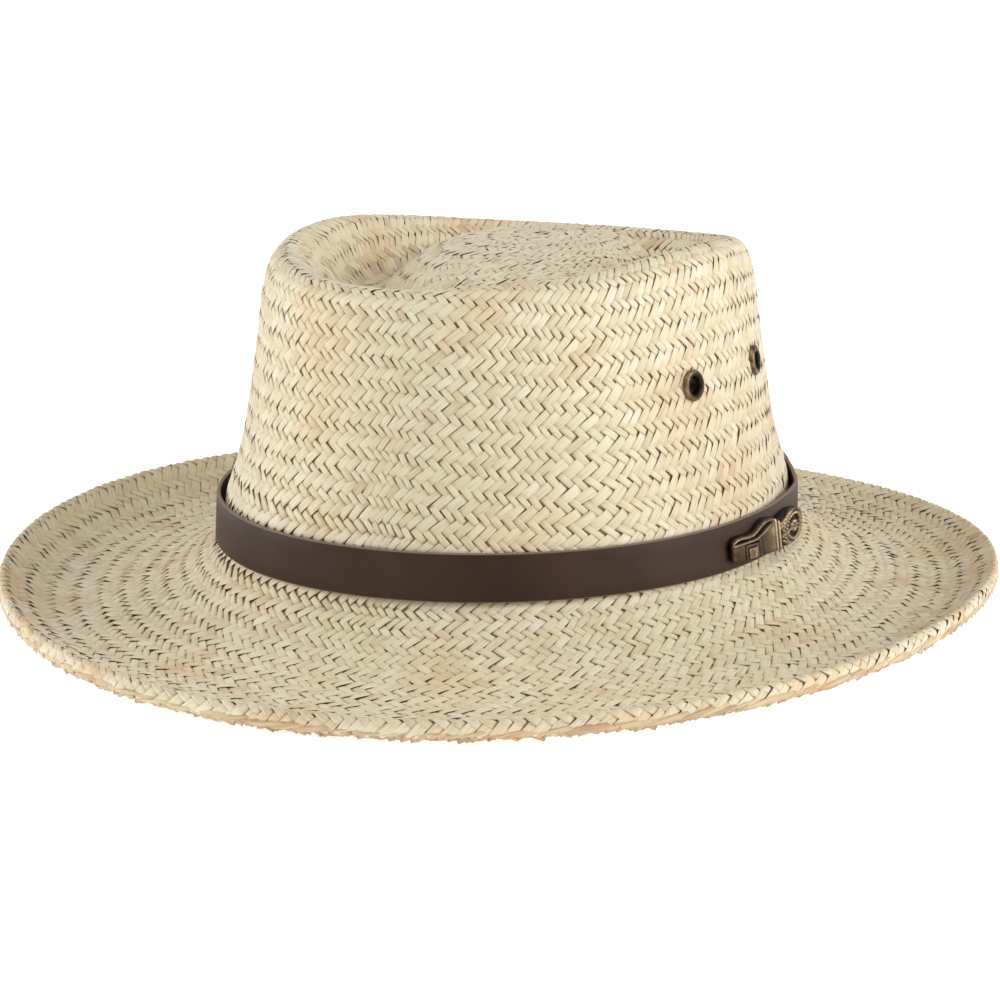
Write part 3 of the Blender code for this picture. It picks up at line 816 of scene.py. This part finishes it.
def level_strands(course):
    """One mesh of strands that run nearly level along the hem, in one course."""
    count = course.strands
    places, faces = strip_template(6, 2)
    share = (np.arange(count) + random.uniform(-0.4, 0.4, count)) / count
    middle = EDGE_AT + course.below + random.uniform(-1, 1, count) * course.spread
    length = course.length * random.uniform(0.6, 1.2, count)
    width = course.width * random.uniform(0.55, 1.15, count)
    slant = course.slant * random.uniform(0.5, 1.4, count)
    if course.name == "frayed_ends":
        slant = slant * np.where(random.random(count) < 0.35, -1.0, 1.0)
    along = (places[:, 0][None] - 0.5) * length[:, None]
    taper = 1 - 0.5 * random.random(count)[:, None] * np.abs(2 * places[:, 0][None] - 1) ** 3
    across = (places[:, 1] - 0.5)[None] * width[:, None] * taper
    cosine, sine = np.cos(slant)[:, None], np.sin(slant)[:, None]
    round_hem = along * cosine + across * sine
    down = across * cosine - along * sine
    turn = turn_at(HEM_END, share[:, None] + round_hem / ring_lengths[-2])
    bow = 0.00022 * (1 - (2 * places[:, 1][None] - 1) ** 2)
    ends = 0.0005 * np.abs(2 * places[:, 0][None] - 1) ** 3
    lift = course.lift + random.uniform(-0.00015, 0.00015, count)[:, None] + bow - ends
    if course.name == "frayed_ends":
        lift = lift + ends + random.uniform(-0.10, 0.16, count)[:, None] * along
    distance = middle[:, None] + down
    past = np.maximum(distance - HEM_END, 0.0)
    points = on_sheet(np.minimum(distance, HEM_END), turn, lift)[0]
    points[..., 2] -= past
    corners = (faces[None] + np.arange(count)[:, None, None] * len(places)).reshape(-1, 4)
    tint = np.repeat(random.random(count) * course.tint, len(places))
    # Painted shade on the hem's strands: an overall darkening, deeper toward their sides and
    # dipping ends.
    edge_on = np.abs(2 * places[:, 1] - 1)[None] * 0.35 + ends / 0.0012
    painted_tuck_shade = np.repeat(random.uniform(0.1, 0.3, count), len(places))
    painted_tuck_shade = painted_tuck_shade + np.broadcast_to(edge_on, along.shape).ravel() * 0.8
    uv = np.stack([along + random.random((count, 1)) * 9, across + random.random((count, 1)) * 9],
                  axis=-1).reshape(-1, 2)
    return strip_mesh(course.name, points.reshape(-1, 3), corners, uv, tint, painted_tuck_shade)


for course in COURSE_ROWS:
    add_piece(course.name, level_strands(course), straw, "straw_body")

# ---------------------------------------------------------------- hat band
# A strap of smooth dark brown leather with a paler cut edge, closed into a loop. It grips
# the crown in front and stands a little off it at both sides.
BAND_HEIGHT = 0.0134
BAND_WALL = 0.0012
BAND_GAP = 0.0006
BAND_ROUNDING = 0.0004
BAND_TAPER = 0.09
StandRow = namedtuple("StandRow", "angle foot top")
STAND_ROWS = [
    StandRow(-140, 0.0, 0.0002),
    StandRow(-100, 0.0003, 0.0012),
    StandRow(-68, 0.0004, 0.0024),
    StandRow(-38, 0.0, 0.0008),
    StandRow(0, 0.0, 0.0),
    StandRow(80, 0.0, 0.0),
    StandRow(98, 0.0, 0.0010),
    StandRow(110, 0.0002, 0.0022),
    StandRow(118, 0.0001, 0.0009),
    StandRow(126, 0.0, 0.0001),
]


def crown_wall(turn, height, outward):
    """Points off the foot of the crown's side, where the band lies."""
    half_length = mix(HEAD_LENGTH, CREST_LENGTH, BAND_TAPER * height / BAND_HEIGHT) / 2
    half_width = mix(HEAD_WIDTH, CREST_WIDTH, BAND_TAPER * height / BAND_HEIGHT) / 2
    radius = 1 / np.hypot(np.cos(turn) / half_length, np.sin(turn) / half_width)
    radius = radius - dent_at(turn) + outward
    rise = FOOT_HEIGHT + FOOT_END_RISE * np.cos(2 * turn) + height
    return np.stack([radius * np.sin(turn), CROWN_SETBACK - radius * np.cos(turn), rise], axis=-1)


def leather_material():
    """Dark brown finished leather: fine pores, faint cloudiness, paler raw edges."""
    material, tree, shader = new_material("band_leather")
    shader.inputs["Specular IOR Level"].default_value = 0.2
    cloud = noise_over(tree, 38.0, 4.0)
    shades = ramp_of(tree, cloud, [(0.30, (0.042, 0.020, 0.011)), (0.72, (0.062, 0.033, 0.020))])
    worn = mixed(tree, "MIX", attribute_of(tree, "cut_edge"), shades, (0.24, 0.16, 0.11, 1.0))
    tree.links.new(worn, shader.inputs["Base Color"])
    roughen(tree, shader, cloud, 0.36, 0.52)
    place = tree.nodes.new("ShaderNodeTexCoord")
    pores = tree.nodes.new("ShaderNodeTexVoronoi")
    pores.inputs["Scale"].default_value = 1900.0
    tree.links.new(place.outputs["Object"], pores.inputs["Vector"])
    add_bump(tree, shader, pores.outputs["Distance"], 0.22, 0.00012)
    return material


def leather_band():
    """The band's section, turned round once and then laid on the crown's oval."""
    bm = bmesh.new()
    bmesh.ops.create_grid(bm, x_segments=1, y_segments=4, size=0.5)
    for vertex in bm.verts:
        vertex.co = (vertex.co.x * BAND_WALL, 0.0, vertex.co.y * BAND_HEIGHT)
    border = [edge for edge in bm.edges if edge.is_boundary and abs(edge.verts[0].co.z)
              + abs(edge.verts[1].co.z) > BAND_HEIGHT * 0.99]
    corners = list({vertex for edge in border for vertex in edge.verts})
    bmesh.ops.bevel(bm, geom=corners, offset=BAND_ROUNDING, segments=3, profile=0.5,
                    affect="VERTICES", material=-1)
    rim = [edge for edge in bm.edges if edge.is_boundary]
    inner = list(bm.faces)
    bmesh.ops.translate(bm, verts=bm.verts, vec=(1.0, 0.0, 0.0))
    loop = rim + list({vertex for edge in rim for vertex in edge.verts})
    bmesh.ops.delete(bm, geom=inner, context="FACES_KEEP_BOUNDARY")
    bmesh.ops.spin(bm, geom=loop, cent=(0, 0, 0), axis=(0, 0, 1), angle=2 * math.pi, steps=260,
                   use_merge=True, use_duplicate=False)
    bmesh.ops.remove_doubles(bm, verts=bm.verts, dist=1e-7)
    angles = np.radians([row.angle for row in STAND_ROWS])
    edge_layer = bm.verts.layers.float.new("cut_edge")
    for vertex in bm.verts:
        turn = math.atan2(vertex.co.y, vertex.co.x)
        through = math.hypot(vertex.co.x, vertex.co.y) - 1.0 + BAND_WALL / 2
        height = vertex.co.z + BAND_HEIGHT / 2
        stand = mix(np.interp(turn, angles, [row.foot for row in STAND_ROWS]),
                    np.interp(turn, angles, [row.top for row in STAND_ROWS]),
                    height / BAND_HEIGHT)
        top_or_foot = abs(vertex.co.z) > BAND_HEIGHT / 2 - BAND_ROUNDING * 0.6
        vertex[edge_layer] = 1.0 if top_or_foot else 0.0
        vertex.co = crown_wall(turn, height, BAND_GAP + through + stand)
    return smooth_mesh(bm, "leather_band")


band = add_piece("leather_band", leather_band(), leather_material(), "hat_band")

# ---------------------------------------------------------------- band ornament
# A small saddle with a coil of rope beside it, cast in one piece of bronze, darkened in its
# hollows and rubbed pale on its ridges, and bent to lie on the band.
ORNAMENT_LENGTH = 0.0530
ORNAMENT_HEIGHT = 0.0106
ORNAMENT_WALL = 0.0014
ORNAMENT_RELIEF = 0.0011
ORNAMENT_FRONT_BASE = 0.0022
ORNAMENT_REAR_BASE = -0.0013
ORNAMENT_ANGLE = 88.1
OutlineRow = namedtuple("OutlineRow", "along low high")
OUTLINE_ROWS = [
    OutlineRow(0.00, 0.15, 0.50),
    OutlineRow(0.014, 0.07, 0.60),
    OutlineRow(0.045, 0.03, 0.68),
    OutlineRow(0.09, 0.03, 0.71),
    OutlineRow(0.155, 0.03, 0.70),
    OutlineRow(0.21, 0.02, 0.72),
    OutlineRow(0.255, 0.02, 0.79),
    OutlineRow(0.30, 0.02, 0.90),
    OutlineRow(0.35, 0.01, 0.98),
    OutlineRow(0.41, 0.00, 1.00),
    OutlineRow(0.47, 0.00, 0.97),
    OutlineRow(0.515, 0.00, 0.86),
    OutlineRow(0.56, 0.00, 0.90),
    OutlineRow(0.64, 0.00, 0.97),
    OutlineRow(0.76, 0.00, 1.00),
    OutlineRow(0.88, 0.02, 0.92),
    OutlineRow(0.95, 0.12, 0.80),
    OutlineRow(1.00, 0.32, 0.60),
]


def ridge(distance, half_width):
    """Rounded ridge of height 1 across a distance, 0 beyond its half width."""
    return np.sqrt(np.clip(1 - (distance / half_width) ** 2, 0, 1))


def cast_relief(share, up, top):
    """Height of the relief: rims, stepped squares, two ribs, a coil and strands of rope."""
    along = share * ORNAMENT_LENGTH / ORNAMENT_HEIGHT
    from_top = top - up
    raised = np.full_like(share, 0.44)
    skirt_top = np.interp(share, [0.0, 0.245, 0.335, 0.444], [0.47, 0.53, 0.66, 0.84])
    saddle = share < 0.462
    channel = saddle & (up > skirt_top) & (from_top > 0.06)
    raised = np.where(channel, 0.0, raised)
    raised = np.where(saddle, np.maximum(raised, 0.85 * ridge(from_top - 0.05, 0.065)), raised)
    raised = np.where(saddle, np.maximum(raised, 0.8 * ridge(up - skirt_top, 0.05)), raised)
    square = np.maximum(np.abs(along - 0.98) / 0.34, np.abs(up - 0.18) / 0.26)
    for reach, height in ((1.16, 0.02), (1.0, 0.50), (0.74, 0.24), (0.62, 0.75), (0.3, 0.6)):
        raised = np.where((square < reach) & (up < skirt_top - 0.04), height, raised)
    flap = np.clip((share - 0.31) / 0.145, 0, 1)
    raised = np.where(saddle & (up < skirt_top - 0.05) & (share > 0.29), 0.34 + 0.4 * flap, raised)
    for rib_share in (0.476, 0.521):
        raised = np.maximum(raised * (np.abs(share - rib_share) > 0.018),
                            1.0 * ridge(share - rib_share, 0.0155))
    coil = share > 0.545
    across, upward = (share - 0.79) * ORNAMENT_LENGTH / ORNAMENT_HEIGHT * 0.62, up - 0.47
    reach, round_coil = np.hypot(across, upward * 1.25), np.arctan2(upward, across)
    rope = np.zeros_like(share)
    for radius, half_width, strands in ((0.60, 0.085, 34), (0.44, 0.075, 26), (0.14, 0.10, 9)):
        twist = 0.82 + 0.18 * np.cos(strands * round_coil + 22 * (reach - radius))
        rope = np.maximum(rope, ridge(reach - radius, half_width) * twist)
    for start, end in (((0.55, 0.70), (0.74, 0.92)), ((0.55, 0.60), (0.70, 0.78)),
                       ((0.56, 0.34), (0.72, 0.44)), ((0.57, 0.22), (0.66, 0.03))):
        run = (end[0] - start[0]) * ORNAMENT_LENGTH / ORNAMENT_HEIGHT
        climb = end[1] - start[1]
        here = (share - start[0]) * ORNAMENT_LENGTH / ORNAMENT_HEIGHT
        part = np.clip((here * run + (up - start[1]) * climb) / (run ** 2 + climb ** 2), 0, 1)
        gap = np.hypot(here - part * run, up - start[1] - part * climb)
        rope = np.maximum(rope, 0.95 * ridge(gap, 0.055) * (0.88 + 0.12 * np.cos(70 * part)))
    return np.where(coil, rope, raised)


def bronze_material():
    """Cast bronze: nearly black in the hollows, tan and rubbed on the ridges."""
    material, tree, shader = new_material("cast_bronze")
    shader.inputs["Metallic"].default_value = 0.8
    grime = noise_over(tree, 420.0, 4.0)
    spread = tree.nodes.new("ShaderNodeMath")
    spread.operation = "MULTIPLY_ADD"
    spread.inputs[1].default_value = 0.5
    spread.inputs[2].default_value = -0.25
    tree.links.new(grime, spread.inputs[0])
    worn = tree.nodes.new("ShaderNodeMath")
    tree.links.new(attribute_of(tree, "raised"), worn.inputs[0])
    tree.links.new(spread.outputs["Value"], worn.inputs[1])
    colour = ramp_of(tree, worn.outputs["Value"], [
        (0.08, (0.008, 0.005, 0.003)), (0.36, (0.060, 0.036, 0.019)),
        (0.66, (0.21, 0.135, 0.074)), (0.95, (0.62, 0.47, 0.31))])
    tree.links.new(colour, shader.inputs["Base Color"])
    roughen(tree, shader, worn.outputs["Value"], 0.52, 0.30)
    add_bump(tree, shader, grime, 0.3, 0.0001)
    return material


def cast_ornament():
    """Front face with its relief, walls down to the band, and a plain back."""
    bm = bmesh.new()
    bmesh.ops.create_grid(bm, x_segments=240, y_segments=56, size=0.5)
    layer = bm.verts.layers.float.new("raised")
    front = list(bm.verts)
    share = np.array([vertex.co.x for vertex in front]) + 0.5
    level = np.array([vertex.co.y for vertex in front]) + 0.5
    along = [row.along for row in OUTLINE_ROWS]
    low = np.interp(share, along, [row.low for row in OUTLINE_ROWS])
    high = np.interp(share, along, [row.high for row in OUTLINE_ROWS])
    up = mix(low, high, level)
    relief = cast_relief(share, up, high)
    nearest = np.minimum(np.minimum(level, 1 - level) * 10, np.minimum(share, 1 - share) * 45)
    rounding = np.sqrt(np.clip(1 - (1 - np.clip(nearest, 0, 1)) ** 2, 0, 1))
    middle = math.radians(ORNAMENT_ANGLE)
    bend = 1 / math.hypot(math.cos(middle) * 2 / HEAD_LENGTH, math.sin(middle) * 2 / HEAD_WIDTH)
    turn = middle + (share - 0.5) * ORNAMENT_LENGTH / (bend + BAND_WALL)
    height = mix(ORNAMENT_FRONT_BASE, ORNAMENT_REAR_BASE, share) + up * ORNAMENT_HEIGHT
    back = BAND_GAP + BAND_WALL + 0.0002
    rise = (ORNAMENT_WALL + ORNAMENT_RELIEF * relief) * mix(0.45, 1.0, rounding)
    stand = np.interp(turn, np.radians([row.angle for row in STAND_ROWS]),
                      [row.top for row in STAND_ROWS]) * height / BAND_HEIGHT
    for vertex, point, value in zip(front, crown_wall(turn, height, back + stand + rise),
                                    relief * rounding):
        vertex.co = point
        vertex[layer] = value
    rim = [edge for edge in bm.edges if edge.is_boundary]
    walls = bmesh.ops.extrude_edge_only(bm, edges=rim)
    for vertex in walls["geom"]:
        if isinstance(vertex, bmesh.types.BMVert):
            outward = Vector((vertex.co.x, vertex.co.y - CROWN_SETBACK, 0.0)).normalized()
            vertex.co -= outward * ORNAMENT_WALL * 0.45
    back_rim = [edge for edge in bm.edges if edge.is_boundary]
    filled = bmesh.ops.holes_fill(bm, edges=back_rim, sides=0)
    bmesh.ops.triangulate(bm, faces=filled["faces"])
    return smooth_mesh(bm, "cast_ornament", sharp=55)


ornament = add_piece("cast_ornament", cast_ornament(), bronze_material(), "band_ornament")

# ---------------------------------------------------------------- vent eyelets
# Four turned eyelets of antique brass, clenched through the straw on both sides of the
# crown: a rolled flange outside, a short barrel, and a flat flange inside.
EYELET_BORE = 0.0025
EYELET_BARREL = 0.0035
EYELET_FLANGE = 0.0045
EYELET_LIP = 0.0008
EYELET_SEAT = 0.0006
# Painted shade: within this radius of its axis an eyelet is near black, fading out over the fade
# width.
BORE_SHADE_RADIUS = 0.0040
BORE_SHADE_FADE = 0.0005


def brass_material():
    """Antique brass: warm, dulled, with darker film in patches and painted shade in the bore."""
    material, tree, shader = new_material("antique_brass")
    shader.inputs["Metallic"].default_value = 0.9
    film = noise_over(tree, 520.0, 3.0)
    colour = ramp_of(tree, film, [(0.35, (0.12, 0.075, 0.035)), (0.65, (0.31, 0.21, 0.115))])
    # Painted shade: near black in the bore, the barrel and the inner part of the flanges.
    colour = mixed(tree, "MIX", attribute_of(tree, "inside"), colour,
                   (0.035, 0.022, 0.013, 1.0))
    tree.links.new(colour, shader.inputs["Base Color"])
    roughen(tree, shader, film, 0.45, 0.28)
    return material


def turned_eyelet(name, middle, axis):
    """Closed section of an eyelet, turned once and set square to the straw."""
    under = -STRAW_WALL - EYELET_SEAT
    section = [(EYELET_BORE, under - EYELET_LIP), (EYELET_BORE, EYELET_LIP * 0.9)]
    for step in range(9):
        angle = math.pi * (1 - step / 8)
        section.append((mix(EYELET_BORE, EYELET_FLANGE, 0.5 + 0.5 * math.cos(angle)),
                        EYELET_LIP * 0.9 + EYELET_LIP * math.sin(angle)))
    section += [(EYELET_FLANGE, EYELET_LIP * 0.4), (EYELET_BARREL, EYELET_LIP * 0.4),
                (EYELET_BARREL, under), (EYELET_FLANGE, under),
                (EYELET_FLANGE, under - EYELET_LIP)]
    bm = bmesh.new()
    points = [bm.verts.new((radius, 0.0, height)) for radius, height in section]
    edges = [bm.edges.new(pair) for pair in zip(points, points[1:] + points[:1])]
    bmesh.ops.spin(bm, geom=points + edges, cent=(0, 0, 0), axis=(0, 0, 1),
                   angle=2 * math.pi, steps=48, use_merge=True, use_duplicate=False)
    bmesh.ops.remove_doubles(bm, verts=bm.verts, dist=1e-6)
    bore_shade_layer = bm.verts.layers.float.new("inside")
    for vertex in bm.verts:
        share = (BORE_SHADE_RADIUS - vertex.co.xy.length) / BORE_SHADE_FADE
        vertex[bore_shade_layer] = min(max(share, 0.0), 1.0)
    turn = Vector(axis).to_track_quat("Z", "Y").to_matrix().to_4x4()
    turn.translation = Vector(middle)
    bmesh.ops.transform(bm, matrix=turn, verts=bm.verts)
    return smooth_mesh(bm, name, sharp=50)


brass = brass_material()
for row, (middle, axis) in zip(EYELET_ROWS, eyelet_axes()):
    name = "turned_" + row.name
    eyelet = add_piece(name, turned_eyelet(name, middle, axis), brass, row.name)
